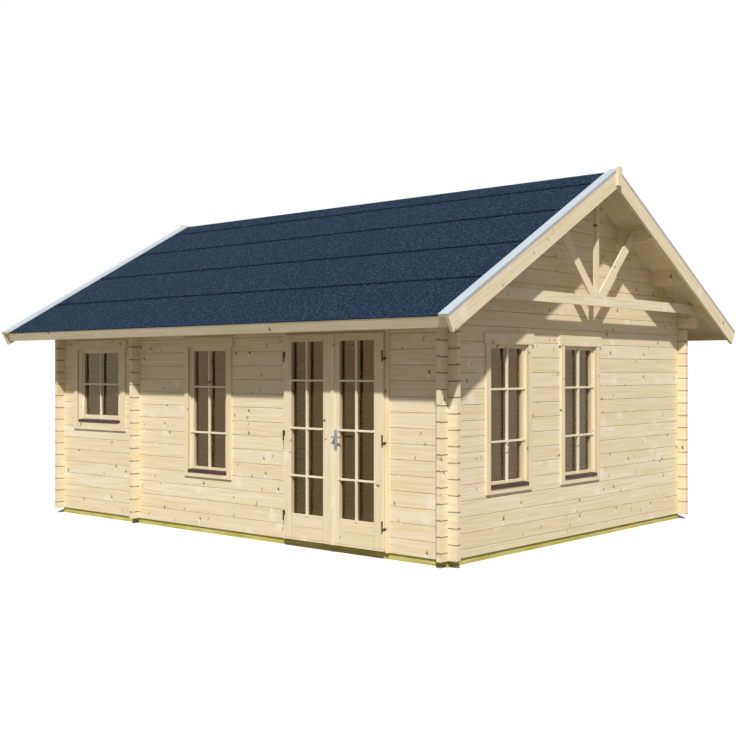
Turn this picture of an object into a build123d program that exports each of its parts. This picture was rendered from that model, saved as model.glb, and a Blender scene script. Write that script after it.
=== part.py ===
"""Log cabin: notched log walls on a timber base, a felted gable roof and a glazed double door.

Millimetres. X runs along the ridge, the double door faces -Y, Z is up.
The origin is on the ground under the middle of the roof.
"""

import os
from math import cos, radians, sin, tan

from build123d import *

os.makedirs("parts", exist_ok=True)

# ---- Logs and walls ---------------------------------------------------------
log_height = 135.0  # one course, joint to joint
log_thickness = 45.0
course_count = 16  # full logs in the two long walls
cabin_length = 5580.0  # over the outer faces of the gable walls
cabin_width = 4200.0  # over the outer faces of the long walls
log_end = 97.0  # how far log ends pass the wall that they cross
bracket_end = 213.0  # the top log of a long wall runs out this far, to carry the plate
joint_depth = 4.5  # V-joint between logs, into each face
joint_half_height = 4.5
partition_from_end = 1422.0  # left gable wall to the middle of the cross wall

# ---- Base and floor ---------------------------------------------------------
base_height = 58.0  # treated beams under every wall
base_width = 90.0
base_setback = 15.0  # face of the base, inside the face of the logs
joist_width = 58.0
joist_spacing = 560.0
floor_thickness = 20.0

# ---- Roof -------------------------------------------------------------------
roof_pitch = 29.16  # degrees
plate_height = 89.0  # wall plate over the top log, at its outer face
roof_board = 20.0
felt_thickness = 3.0
felt_lap = 5.0  # step where one strip of felt lies over the next
felt_exposure = 697.0
felt_strips = 4  # on each slope, under the strip over the ridge
ridge_felt_half = 262.0
felt_drip = 2.0
gable_overhang = 404.0  # gable wall to the outer face of the barge board
barge_thickness = 28.0
barge_below_boards = 110.0  # square to the slope
barge_above_boards = 29.0
eave_run = 2989.0  # ridge to the cut end of the barge board, along the slope
barge_past_fascia = 28.0  # cut end of a barge board, beyond the face of the fascia
fascia_thickness = 20.0
fascia_over_doors = 6.0  # underside of the fascia, above the tops of the open doors
trim_thickness = 2.0
trim_width = 96.0
trim_lip = 22.0
finial_width = 70.0
finial_thickness = 25.0
finial_below_ridge = 112.0  # under the underside of the roof boards
finial_above_trim = 8.0

# ---- Purlins and the open trusses -------------------------------------------
purlin_thickness = 45.0
purlin_height = 170.0
purlin_chamfer = 48.0
ridge_purlin_height = 159.0
purlin_runs = (705.0, 1421.0)  # ridge line to the upper face of each purlin
truss_from_wall = 152.0  # gable wall to the back of the truss
truss_thickness = 38.0
tie_height = 97.0
tie_above_logs = 28.0
king_width = 48.0
strut_width = 93.0
strut_thickness = 20.0
strut_angle = 45.0
strut_above_tie = 21.0  # upper edge of a strut at the king post, over the tie beam

# ---- Windows ----------------------------------------------------------------
# Sizes of the opening in the logs, the boards round it and the borders round the glass.
tall_window = {
    "width": 625.0,
    "height": 1355.0,
    "above_logs": 520.0,  # underside of the opening, above the underside of the logs
    "casing": 62.0,
    "bottom_casing": 45.0,
    "lining": 31.5,  # side of the frame, in front of the sash
    "side": 73.5,
    "bottom": 82.0,
    "top": 107.0,
    "sill": 581.0,
}
small_window = {
    "width": 875.0,
    "height": 940.0,
    "above_logs": 935.0,
    "casing": 78.0,
    "bottom_casing": 83.0,
    "lining": 91.5,
    "side": 122.5,
    "bottom": 142.0,
    "top": 110.0,
    "sill": 741.0,
}
small_window_from_end = 730.0  # left gable wall to its middle
front_window_from_partition = 1144.0  # cross wall to the middle of the tall window
gable_windows_from_corner = (879.0, 2083.0)  # front wall to their middles
casing_thickness = 18.0
casing_beside = 40.5  # a side casing reaches this far over the logs
casing_over = 29.0  # so does the head casing
casing_under = 20.0  # and the bottom casing
head_casing_height = 97.0
head_casing_overhang = 26.0
head_casing_thickness = 22.0
board_joint = 0.6  # hairline where two boards meet
lining_top = 78.0  # head of the frame, in front of the sash
sash_depth = 45.0
sash_setback = 17.0  # face of the sash, inside the face of the logs
glass_thickness = 6.0
glass_setback = 27.0  # face of the glass, behind the face of the sash
sill_reach = 26.0
sill_fall = 11.0
sill_back_height = 33.0

# ---- Doors ------------------------------------------------------------------
door_from_end = 1276.0  # right gable wall to the meeting line of the leaves
leaf_width = 600.0
leaf_thickness = 42.0
leaf_height = 1892.0
leaf_above_logs = 12.0  # underside of a leaf, above the underside of the logs
leaf_gap = 5.0  # beside each leaf and above it
meeting_gap = 9.0  # between the leaves, so that either swings past the other
leaf_proud = 6.0  # back of a leaf, out from the face of the logs and the jambs
stile_width = 98.0
bottom_rail = 238.0
top_rail = 66.0
door_casing_width = 36.0
door_casing_cover = 15.0  # laps over the jamb
stop_lap = 20.0  # jamb behind the edge of a leaf
jamb_depth = 78.0
door_glass_setback = 33.0
cover_strip_width = 35.0
cover_strip_thickness = 12.0
threshold_height = 24.0

# ---- Hinges and handle ------------------------------------------------------
hinge_radius = 7.0
hinge_axis_out = 8.5  # hinge pin, in front of the face of the leaf
hinge_length = 94.0
hinge_pin_radius = 4.0
hinge_pin_length = 40.0
hinge_clearance = 0.3
hinge_heights = (228.0, 970.0, 1700.0)  # middle of each hinge, above the underside of the logs
hinge_plate = 3.0
hinge_plate_reach = 15.0  # pin to the edge of the plate on the leaf
hinge_strap = (14.0, 16.0)  # width and height of the foot on the door casing
handle_from_edge = 52.0  # middle of the handle plate, from the meeting edge of the leaf
handle_height = 952.0  # middle of the handle plate, above the underside of the logs
handle_plate_width = 32.0
handle_plate_height = 184.0
handle_plate_thickness = 5.0
lever_rise = 27.0  # lever, over the middle of the plate
cylinder_drop = 62.0  # lock cylinder, under the middle of the plate
cylinder_radius = 9.0
lever_radius = 8.0
stem_radius = 6.5  # carries the lever out from the plate
rose_radius = 11.0  # round foot of the stem
lever_reach = 50.0
lever_length = 100.0

# ---- Doorway in the cross wall ----------------------------------------------
doorway_width = 800.0
doorway_height = 1890.0

# ---- Worked out from the above ----------------------------------------------
half_length = cabin_length / 2
half_width = cabin_width / 2
log_base = base_height
wall_top = log_base + course_count * log_height
floor_top = log_base + floor_thickness
slope = tan(radians(roof_pitch))
along = cos(radians(roof_pitch))
across = sin(radians(roof_pitch))
soffit_ridge = wall_top + plate_height + slope * half_width
barge_inner_x = half_length + gable_overhang - barge_thickness
barge_outer_x = half_length + gable_overhang
partition_x = partition_from_end - half_length
inner_half_length = half_length - log_thickness
inner_half_width = half_width - log_thickness
partition_faces = (partition_x - log_thickness / 2, partition_x + log_thickness / 2)
fascia_run = eave_run - barge_past_fascia
boards_run = fascia_run - fascia_thickness
felt_run = fascia_run + felt_drip
felt_top = roof_board + felt_thickness
top_log_base = wall_top - log_height
fin_top = top_log_base + log_height / 2

small_window_x = small_window_from_end - half_length
front_window_x = partition_x + front_window_from_partition
gable_window_ys = [place - half_width for place in gable_windows_from_corner]

door_middle = half_length - door_from_end
leaf_inner = meeting_gap / 2
leaf_outer = leaf_inner + leaf_width
leaf_back_y = -half_width - leaf_proud
leaf_face_y = leaf_back_y - leaf_thickness
leaf_bottom = log_base + leaf_above_logs
leaf_top = leaf_bottom + leaf_height
casing_inner = leaf_outer + leaf_gap
casing_outer = casing_inner + door_casing_width
jamb_outer = casing_outer - door_casing_cover
jamb_inner = leaf_outer - stop_lap
opening_left = door_middle - jamb_outer
opening_right = door_middle + jamb_outer
hinge_x = leaf_outer + leaf_gap / 2
hinge_y = leaf_face_y - hinge_axis_out


def soffit(out):
    """Height of the underside of the roof boards, at a distance out from the ridge line."""
    return soffit_ridge - slope * abs(out)


def roof_point(side, run, lift):
    """Point (y, z) on a slope: run down from the ridge, lift square to the boards' underside."""
    return side * (run * along + lift * across), soffit_ridge - run * across + lift * along


def ridge_point(lift):
    """Point (y, z) on the ridge line, at a lift square to the slope."""
    return 0.0, soffit_ridge + lift / along


def block(low, high, mode=Mode.ADD):
    """Box between two corners."""
    size = [b - a for a, b in zip(low, high)]
    with Locations(tuple((a + b) / 2 for a, b in zip(low, high))):
        Box(*size, mode=mode)


def prism(plane, points, length, mode=Mode.ADD):
    """Closed outline on a plane, extruded along its normal."""
    with BuildSketch(plane) as outline:
        Polygon(*points, align=None)
    extrude(outline.sketch, amount=length, mode=mode)


def save(piece, name):
    """Label a finished sub-part and write its file."""
    piece.part.label = name
    export_step(piece.part, f"parts/{name}.step")


def slope_layer(side, low_lift, high_lift, run):
    """Outline (y, z) of a layer on one slope, plumb at the ridge and square at the eave."""
    return [
        ridge_point(low_lift),
        roof_point(side, run, low_lift),
        roof_point(side, run, high_lift),
        ridge_point(high_lift),
    ]


def chevron(low_lift, high_lift, run):
    """Outline (y, z) of a layer over both slopes."""
    return [
        roof_point(-1, run, low_lift),
        ridge_point(low_lift),
        roof_point(1, run, low_lift),
        roof_point(1, run, high_lift),
        ridge_point(high_lift),
        roof_point(-1, run, high_lift),
    ]


# ---- Walls ------------------------------------------------------------------
crossing_places = (-half_length + log_thickness / 2, partition_x, half_length - log_thickness / 2)


def log_section(low_face, high_face, levels, flat_levels):
    """Section (across, up) of a wall of logs, with a V-joint in both faces at each level."""
    rising = []
    for level in levels:
        if level in flat_levels:
            rising.append((low_face, level))
            continue
        if level > levels[0]:
            rising.append((low_face, level - joint_half_height))
        rising.append((low_face + joint_depth, level))
        if level < levels[-1]:
            rising.append((low_face, level + joint_half_height))
    falling = [(low_face + high_face - across_wall, up) for across_wall, up in reversed(rising)]
    return rising + falling


def log_panel(plane, outline, cuts, seats=()):
    """Panel as thick as a log: an outline, less cuts (width, height, middles) and outlines of seats."""
    with BuildSketch(plane) as panel:
        Polygon(*outline, align=None)
        for width, height, middles in cuts:
            with Locations(*middles):
                Rectangle(width, height, mode=Mode.SUBTRACT)
        for seat in seats:
            Polygon(*seat, align=None, mode=Mode.SUBTRACT)
    extrude(panel.sketch, amount=log_thickness)


def long_wall_notches(wall_xs, courses):
    """Notches in a long wall where the logs of the crossing walls pass through it."""
    middles = [(wall_x, log_base + course * log_height) for wall_x in wall_xs for course in courses]
    return log_thickness, log_height / 2, middles


def window_cut(middle, window):
    """Opening for a window in the logs."""
    up = log_base + window["above_logs"] + window["height"] / 2
    return window["width"], window["height"], [(middle, up)]


def long_wall(side, span, rise, levels, flat_levels, cuts):
    """Logs of a long wall over a span of X and a rise, with V-joints at the levels."""
    (start, end), (foot, top) = span, rise
    low_face, high_face = sorted((side * half_width, side * inner_half_width))
    log_panel(Plane.XZ.offset(-high_face), [(start, foot), (end, foot), (end, top), (start, top)], cuts)
    section = log_section(low_face, high_face, levels, flat_levels)
    prism(Plane.YZ.offset(start), section, end - start, Mode.INTERSECT)


def long_wall_courses(side, start, end, cuts):
    """The courses of a long wall under its top log."""
    levels = [log_base + course * log_height for course in range(course_count)]
    long_wall(side, (start, end), (log_base, top_log_base), levels, levels[:1], cuts)


def top_log(side):
    """The top log of a long wall, which runs out under the overhang as a bracket."""
    reach = half_length + bracket_end
    cuts = [long_wall_notches(crossing_places, [course_count - 1])]
    long_wall(side, (-reach, reach), (top_log_base, wall_top), [top_log_base, wall_top], [wall_top], cuts)


def purlin_section(side, run):
    """Section (y, z) of a purlin: plumb sides, top bevelled to the slope."""
    inner, outer = side * run, side * (run + purlin_thickness)
    bottom = soffit(run) - purlin_height
    return [(inner, bottom), (outer, bottom), (outer, soffit(outer)), (inner, soffit(inner))]


def ridge_purlin_section():
    """Section (y, z) of the ridge purlin, bevelled to both slopes."""
    half = purlin_thickness / 2
    bottom = soffit_ridge - ridge_purlin_height
    return [(-half, bottom), (half, bottom), (half, soffit(half)), (0, soffit_ridge), (-half, soffit(half))]


def crossing_wall(wall_x, outline, foot, cuts=()):
    """Logs of a gable or cross wall inside an outline (y, z), notched over the long walls and the purlins."""
    low_face, high_face = wall_x - log_thickness / 2, wall_x + log_thickness / 2
    wall_middle = half_width - log_thickness / 2
    ups = [log_base + (course + 0.5) * log_height for course in range(course_count - 1)]
    notches = (log_thickness, log_height / 2, [(side * wall_middle, up) for side in (-1, 1) for up in ups])
    top_notch_height = log_height / 4
    top_ups = [(side * wall_middle, fin_top - top_notch_height / 2) for side in (-1, 1)]
    top_notches = (log_thickness, top_notch_height, top_ups)
    seats = [ridge_purlin_section()]
    seats += [purlin_section(side, run) for side in (-1, 1) for run in purlin_runs]
    log_panel(Plane.YZ.offset(low_face), outline, [notches, top_notches, *cuts], seats)
    joints = [log_base + (course + 0.5) * log_height for course in range(2 * course_count)]
    levels = [foot] + [joint for joint in joints if foot < joint < soffit_ridge - joint_half_height]
    levels.append(soffit_ridge)
    reach = half_width + log_end
    section = log_section(low_face, high_face, levels, (foot, soffit_ridge))
    prism(Plane.XZ.offset(-reach), section, 2 * reach, Mode.INTERSECT)


lower_courses = range(course_count)

with BuildPart() as front_wall_left:
    cuts = [
        long_wall_notches(crossing_places[:2], lower_courses),
        window_cut(small_window_x, small_window),
        window_cut(front_window_x, tall_window),
    ]
    long_wall_courses(-1, -half_length - log_end, opening_left, cuts)
save(front_wall_left, "front_wall_left")

with BuildPart() as front_wall_right:
    cuts = [long_wall_notches(crossing_places[2:], lower_courses)]
    long_wall_courses(-1, opening_right, half_length + log_end, cuts)
save(front_wall_right, "front_wall_right")

with BuildPart() as back_wall:
    cuts = [long_wall_notches(crossing_places, lower_courses)]
    long_wall_courses(1, -half_length - log_end, half_length + log_end, cuts)
save(back_wall, "back_wall")

for side, name in ((-1, "front_top_log"), (1, "back_top_log")):
    with BuildPart() as bracket_log:
        top_log(side)
    save(bracket_log, name)

log_end_y = half_width + log_end
# Half of a crossing wall, from the foot of its log ends up to the ridge.
half_gable = [
    (log_end_y, log_base),
    (log_end_y, fin_top),
    (inner_half_width, fin_top),
    (inner_half_width, soffit(inner_half_width)),
    (0, soffit_ridge),
]
whole_gable = half_gable[:-1] + [(0, soffit_ridge)] + [(-y, z) for y, z in reversed(half_gable[:-1])]

with BuildPart() as right_gable_wall:
    window_cuts = [window_cut(window_y, tall_window) for window_y in gable_window_ys]
    crossing_wall(crossing_places[2], whole_gable, log_base, window_cuts)
save(right_gable_wall, "right_gable_wall")

with BuildPart() as left_gable_wall:
    crossing_wall(crossing_places[0], whole_gable, log_base)
save(left_gable_wall, "left_gable_wall")

half_doorway = doorway_width / 2
doorway_top = log_base + doorway_height
for side, name in ((-1, "partition_front"), (1, "partition_back")):
    with BuildPart() as partition:
        beside_doorway = half_gable[:-1] + [(half_doorway, soffit(half_doorway)), (half_doorway, log_base)]
        crossing_wall(partition_x, [(side * y, z) for y, z in beside_doorway], log_base)
    save(partition, name)

with BuildPart() as partition_head:
    over_doorway = [
        (half_doorway, doorway_top),
        (half_doorway, soffit(half_doorway)),
        (0, soffit_ridge),
        (-half_doorway, soffit(half_doorway)),
        (-half_doorway, doorway_top),
    ]
    crossing_wall(partition_x, over_doorway, doorway_top)
save(partition_head, "partition_head")

# ---- Base and floor ---------------------------------------------------------
base_outer_x = half_length - base_setback
base_outer_y = half_width - base_setback
base_inner_x = base_outer_x - base_width
base_inner_y = base_outer_y - base_width

with BuildPart() as long_base_beams:
    for side in (-1, 1):
        low_y, high_y = sorted((side * base_outer_y, side * base_inner_y))
        block((-base_outer_x, low_y, 0), (base_outer_x, high_y, base_height))
save(long_base_beams, "long_base_beams")

with BuildPart() as end_base_beams:
    for side in (-1, 1):
        low_x, high_x = sorted((side * base_outer_x, side * base_inner_x))
        block((low_x, -base_inner_y, 0), (high_x, base_inner_y, base_height))
save(end_base_beams, "end_base_beams")

with BuildPart() as floor_joists:
    joist_count = int((2 * base_inner_x) // joist_spacing)
    bay = 2 * base_inner_x / joist_count
    places = [-base_inner_x + bay * number for number in range(1, joist_count)]
    places = [x for x in places if abs(x - partition_x) > bay / 2] + [partition_x]
    for place in places:
        block(
            (place - joist_width / 2, -base_inner_y, 0),
            (place + joist_width / 2, base_inner_y, base_height),
        )
save(floor_joists, "floor_joists")

with BuildPart() as floor_boards:
    for low_x, high_x in ((partition_faces[1], inner_half_length), (-inner_half_length, partition_faces[0])):
        block((low_x, -inner_half_width, log_base), (high_x, inner_half_width, floor_top))
save(floor_boards, "floor_boards")

# ---- Roof carcass -----------------------------------------------------------
with BuildPart() as wall_plates:
    for side in (-1, 1):
        outline = [
            (side * half_width, wall_top),
            (side * inner_half_width, wall_top),
            (side * inner_half_width, soffit(inner_half_width)),
            (side * half_width, soffit(half_width)),
        ]
        prism(Plane.YZ.offset(-barge_inner_x), outline, 2 * barge_inner_x)
save(wall_plates, "wall_plates")


def chamfer_purlin_ends():
    """Chamfer the lower corner at both ends of every purlin, so that it hides behind the barge board."""
    ends = edges().filter_by(Axis.Y).group_by(Axis.Z)
    low_ends = [edge for group in ends for edge in group if abs(edge.center().X) > half_length]
    lows = [edge for edge in low_ends if edge.center().Z < soffit(edge.center().Y) - purlin_chamfer]
    chamfer(lows, length=purlin_chamfer)


with BuildPart() as ridge_purlin:
    prism(Plane.YZ.offset(-barge_inner_x), ridge_purlin_section(), 2 * barge_inner_x)
save(ridge_purlin, "ridge_purlin")

with BuildPart() as purlins:
    for side in (-1, 1):
        for run in purlin_runs:
            prism(Plane.YZ.offset(-barge_inner_x), purlin_section(side, run), 2 * barge_inner_x)
    chamfer_purlin_ends()
save(purlins, "purlins")

for side, name in ((-1, "front_roof_boards"), (1, "back_roof_boards")):
    with BuildPart() as roof_boards:
        prism(Plane.YZ.offset(-barge_inner_x), slope_layer(side, 0, roof_board, boards_run), 2 * barge_inner_x)
    save(roof_boards, name)

with BuildPart() as fascias:
    for side in (-1, 1):
        inner_top, outer_top = (roof_point(side, run, roof_board) for run in (boards_run, fascia_run))
        foot = leaf_top + fascia_over_doors
        inner_foot, outer_foot = (
            (y - side * (z - foot) * across / along, foot) for y, z in (inner_top, outer_top)
        )
        outline = [inner_foot, outer_foot, outer_top, inner_top]
        prism(Plane.YZ.offset(-barge_inner_x), outline, 2 * barge_inner_x)
save(fascias, "fascias")


# ---- Felt -------------------------------------------------------------------
def felt_outline(side):
    """Outline (y, z) of the felt on one slope: each strip laps over the one below."""
    points = [ridge_point(roof_board), roof_point(side, felt_run, roof_board)]
    points.append(roof_point(side, felt_run, felt_top + felt_lap))
    laps = [felt_run - felt_exposure * strip for strip in range(1, felt_strips)]
    for lap in laps + [ridge_felt_half]:
        points.append(roof_point(side, lap, felt_top))
        points.append(roof_point(side, lap, felt_top + felt_lap))
    points.append(ridge_point(felt_top + felt_lap))
    return points


for side, name in ((-1, "front_felt"), (1, "back_felt")):
    with BuildPart() as felt:
        prism(Plane.YZ.offset(-barge_inner_x), felt_outline(side), 2 * barge_inner_x)
    save(felt, name)

# ---- Verges -----------------------------------------------------------------
barge_top = roof_board + barge_above_boards
for side, side_name in ((-1, "front"), (1, "back")):
    with BuildPart() as barge_boards:
        outline = slope_layer(side, -barge_below_boards, barge_top, eave_run)
        for start_x in (-barge_outer_x, barge_inner_x):
            prism(Plane.YZ.offset(start_x), outline, barge_thickness)
    save(barge_boards, f"{side_name}_barge_boards")

for side, side_name in ((-1, "front"), (1, "back")):
    with BuildPart() as verge_trims:
        cover = slope_layer(side, barge_top, barge_top + trim_thickness, eave_run)
        lip = slope_layer(side, barge_top - trim_lip, barge_top + trim_thickness, eave_run)
        for end in (-1, 1):
            outer_x = end * (barge_outer_x + trim_thickness)
            cover_start = min(outer_x, outer_x - end * trim_width)
            prism(Plane.YZ.offset(cover_start), cover, trim_width)
            lip_start = min(outer_x, outer_x - end * trim_thickness)
            prism(Plane.YZ.offset(lip_start), lip, trim_thickness)
    save(verge_trims, f"{side_name}_verge_trims")

for side, side_name in ((-1, "front"), (1, "back")):
    with BuildPart() as verge_battens:
        outline = slope_layer(side, felt_top + felt_lap, barge_top, eave_run)
        for end in (-1, 1):
            outer_x = end * barge_inner_x
            inner_x = end * (barge_outer_x + trim_thickness - trim_width)
            start_x = min(outer_x, inner_x)
            prism(Plane.YZ.offset(start_x), outline, abs(outer_x - inner_x))
    save(verge_battens, f"{side_name}_verge_battens")

with BuildPart() as finials:
    low_z = soffit_ridge - finial_below_ridge
    high_z = ridge_point(barge_top + trim_thickness)[1] + finial_above_trim
    for end in (-1, 1):
        back_x = end * (barge_outer_x + trim_thickness)
        low_x, high_x = sorted((back_x, back_x + end * finial_thickness))
        block((low_x, -finial_width / 2, low_z), (high_x, finial_width / 2, high_z))
save(finials, "finials")

# ---- Open trusses -----------------------------------------------------------
tie_base = wall_top + tie_above_logs
tie_top = tie_base + tie_height
truss_starts = [half_length + truss_from_wall, -half_length - truss_from_wall - truss_thickness]

with BuildPart() as tie_beams:
    tie_top_reach = (soffit_ridge - tie_top) / slope
    outline = [
        (-inner_half_width, tie_base),
        (inner_half_width, tie_base),
        (inner_half_width, soffit(inner_half_width)),
        (tie_top_reach, tie_top),
        (-tie_top_reach, tie_top),
        (-inner_half_width, soffit(inner_half_width)),
    ]
    for start_x in truss_starts:
        prism(Plane.YZ.offset(start_x), outline, truss_thickness)
save(tie_beams, "tie_beams")

with BuildPart() as king_posts:
    post_top = soffit_ridge - ridge_purlin_height
    for start_x in truss_starts:
        low = (start_x, -king_width / 2, tie_top)
        block(low, (start_x + truss_thickness, king_width / 2, post_top))
save(king_posts, "king_posts")

with BuildPart() as struts:
    rise = tan(radians(strut_angle))
    king_face, purlin_face = king_width / 2, purlin_runs[0]
    upper_end = tie_top + strut_above_tie + (purlin_face - king_face) * rise
    lower_end = upper_end - strut_width / cos(radians(strut_angle))
    outer_x = half_length + truss_from_wall + truss_thickness
    for side in (-1, 1):
        outline = [
            (side * king_face, tie_top),
            (side * (purlin_face - (lower_end - tie_top) / rise), tie_top),
            (side * purlin_face, lower_end),
            (side * purlin_face, upper_end),
            (side * king_face, tie_top + strut_above_tie),
        ]
        for start_x in (outer_x - strut_thickness, -outer_x):
            prism(Plane.YZ.offset(start_x), outline, strut_thickness)
save(struts, "struts")

# ---- Windows ----------------------------------------------------------------
def wall_block(wall, middle, along_span, out_span, up_span, mode=Mode.ADD):
    """Box placed by its spans along a wall, out from the face of its logs, and up from the logs' base."""
    (near, far), (back, front) = along_span, out_span
    low_up, high_up = (log_base + up for up in up_span)
    if wall == "front":
        block((middle + near, -half_width - front, low_up), (middle + far, -half_width - back, high_up), mode)
    else:
        block((half_length + back, middle + near, low_up), (half_length + front, middle + far, high_up), mode)


windows = [("front", small_window_x, small_window), ("front", front_window_x, tall_window)]
windows += [("gable", window_y, tall_window) for window_y in gable_window_ys]

with BuildPart() as window_casings:
    for wall, middle, window in windows:
        reach = window["width"] / 2 + casing_beside
        low = window["above_logs"] - casing_under
        side_low = low + window["bottom_casing"] + board_joint
        high = window["above_logs"] + window["height"] + casing_over
        head_low = high - head_casing_height
        out = (0, casing_thickness)
        wall_block(wall, middle, (-reach, reach), out, (low, side_low - board_joint))
        for side in (-1, 1):
            span = sorted((side * reach, side * (reach - window["casing"])))
            wall_block(wall, middle, span, out, (side_low, head_low - board_joint))
        head_reach = reach + head_casing_overhang
        wall_block(wall, middle, (-head_reach, head_reach), (0, head_casing_thickness), (head_low, high))
save(window_casings, "window_casings")


def sill(wall, middle, window, mode=Mode.ADD):
    """Sill on the bottom casing of a window, falling outwards from the face of the sash."""
    low = log_base + window["above_logs"] - casing_under + window["bottom_casing"]
    profile = [
        (-sash_setback, low),
        (sill_reach, low),
        (sill_reach, low + sill_back_height - sill_fall),
        (-sash_setback, low + sill_back_height),
    ]
    start = middle - window["sill"] / 2
    if wall == "front":
        outline = [(-half_width - out, up) for out, up in profile]
        prism(Plane.YZ.offset(start), outline, window["sill"], mode)
    else:
        outline = [(half_length + out, up) for out, up in profile]
        prism(Plane.XZ.offset(-start - window["sill"]), outline, window["sill"], mode)


with BuildPart() as window_sashes:
    back = -sash_setback - sash_depth
    for wall, middle, window in windows:
        half = window["width"] / 2
        rise = (window["above_logs"], window["above_logs"] + window["height"])
        wall_block(wall, middle, (-half, half), (back, 0), rise)
    for wall, middle, window in windows:
        half = window["width"] / 2 - window["lining"]
        low = window["above_logs"] - casing_under + window["bottom_casing"]
        high = window["above_logs"] + window["height"] - lining_top
        wall_block(wall, middle, (-half, half), (-sash_setback, 0), (low, high), Mode.SUBTRACT)
        sill(wall, middle, window, Mode.SUBTRACT)
        half = window["width"] / 2 - window["side"]
        low = window["above_logs"] + window["bottom"]
        high = window["above_logs"] + window["height"] - window["top"]
        wall_block(wall, middle, (-half, half), (back, 0), (low, high), Mode.SUBTRACT)
save(window_sashes, "window_sashes")

with BuildPart() as window_glass:
    for wall, middle, window in windows:
        half = window["width"] / 2 - window["side"]
        low = window["above_logs"] + window["bottom"]
        high = window["above_logs"] + window["height"] - window["top"]
        face = -sash_setback - glass_setback
        wall_block(wall, middle, (-half, half), (face - glass_thickness, face), (low, high))
save(window_glass, "window_glass")

with BuildPart() as window_sills:
    for wall, middle, window in windows:
        sill(wall, middle, window)
save(window_sills, "window_sills")

# ---- Door frame -------------------------------------------------------------
jamb_foot = log_base + threshold_height + board_joint
head_foot = leaf_top - stop_lap
casing_head_foot = leaf_top + leaf_gap

with BuildPart() as door_frame:
    back_y = -half_width + jamb_depth
    for side in (-1, 1):
        low_x, high_x = sorted((door_middle + side * jamb_inner, door_middle + side * jamb_outer))
        block((low_x, -half_width, jamb_foot), (high_x, back_y, head_foot - board_joint))
    block((opening_left, -half_width, head_foot), (opening_right, back_y, top_log_base))
save(door_frame, "door_frame")

with BuildPart() as threshold:
    block(
        (opening_left, -half_width, log_base),
        (opening_right, -inner_half_width, log_base + threshold_height),
    )
save(threshold, "threshold")

with BuildPart() as door_casings:
    for side in (-1, 1):
        low_x, high_x = sorted((door_middle + side * casing_inner, door_middle + side * casing_outer))
        low = (low_x, -half_width - casing_thickness, log_base)
        block(low, (high_x, -half_width, casing_head_foot - board_joint))
    block(
        (door_middle - casing_outer, -half_width - casing_thickness, casing_head_foot),
        (door_middle + casing_outer, -half_width, top_log_base),
    )
save(door_casings, "door_casings")


# ---- Door leaves ------------------------------------------------------------
def leaf_span(side, near, far):
    """Span along X between two distances out from the meeting line, on one side of it."""
    return sorted((door_middle + side * near, door_middle + side * far))


def glazed_part(side):
    """Edges of the glass in a leaf: low x, high x, low z, high z."""
    low_x, high_x = leaf_span(side, leaf_inner + stile_width, leaf_outer - stile_width)
    return low_x, high_x, leaf_bottom + bottom_rail, leaf_top - top_rail


for side, side_name in ((-1, "left"), (1, "right")):
    with BuildPart() as leaf:
        low_x, high_x = leaf_span(side, leaf_inner, leaf_outer)
        block((low_x, leaf_face_y, leaf_bottom), (high_x, leaf_back_y, leaf_top))
        low_x, high_x, low_z, high_z = glazed_part(side)
        block((low_x, leaf_face_y, low_z), (high_x, leaf_back_y, high_z), Mode.SUBTRACT)
    save(leaf, f"{side_name}_door_leaf")

    with BuildPart() as leaf_glass:
        face_y = leaf_face_y + door_glass_setback
        block((low_x, face_y, low_z), (high_x, face_y + glass_thickness, high_z))
    save(leaf_glass, f"{side_name}_door_glass")

with BuildPart() as door_cover_strip:
    low_x, high_x = leaf_span(1, leaf_inner, leaf_inner + cover_strip_width)
    block((low_x, leaf_face_y - cover_strip_thickness, leaf_bottom), (high_x, leaf_face_y, leaf_top))
save(door_cover_strip, "door_cover_strip")

# ---- Hinges -----------------------------------------------------------------
hinge_middles = [log_base + height for height in hinge_heights]
knuckle_height = hinge_length / 2 - hinge_clearance / 2


def standing_rod(x, foot, radius, height, mode=Mode.ADD):
    """Upright round rod on the line of the hinge pins."""
    with Locations((x, hinge_y, foot)):
        Cylinder(radius, height, align=(Align.CENTER, Align.CENTER, Align.MIN), mode=mode)


with BuildPart() as hinge_pins:
    for side in (-1, 1):
        pin_x = door_middle + side * hinge_x
        for middle in hinge_middles:
            foot = middle - hinge_length / 2
            standing_rod(pin_x, foot, hinge_radius, knuckle_height)
            standing_rod(pin_x, middle - hinge_clearance, hinge_pin_radius, hinge_pin_length)
            outer_x = pin_x + side * hinge_radius
            low_x, high_x = sorted((outer_x, outer_x - side * hinge_plate))
            strap_y = -half_width - casing_thickness
            low_z = foot + (knuckle_height - hinge_strap[1]) / 2
            block((low_x, hinge_y, low_z), (high_x, strap_y, low_z + hinge_strap[1]))
            strap_x = door_middle + side * casing_inner
            low_x, high_x = sorted((strap_x, strap_x + side * hinge_strap[0]))
            block((low_x, strap_y - hinge_plate, low_z), (high_x, strap_y, low_z + hinge_strap[1]))
save(hinge_pins, "hinge_pins")

for side, side_name in ((-1, "left"), (1, "right")):
    with BuildPart() as hinge_leaves:
        pin_x = door_middle + side * hinge_x
        bore = hinge_pin_radius + hinge_clearance
        for middle in hinge_middles:
            foot = middle + hinge_clearance / 2
            standing_rod(pin_x, foot, hinge_radius, knuckle_height)
            inner_x = pin_x - side * hinge_plate_reach
            low_x, high_x = sorted((pin_x, inner_x))
            block((low_x, leaf_face_y - hinge_plate, foot), (high_x, leaf_face_y, foot + knuckle_height))
            standing_rod(pin_x, foot, bore, hinge_pin_length + hinge_clearance, Mode.SUBTRACT)
    save(hinge_leaves, f"{side_name}_hinge_leaves")

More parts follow.
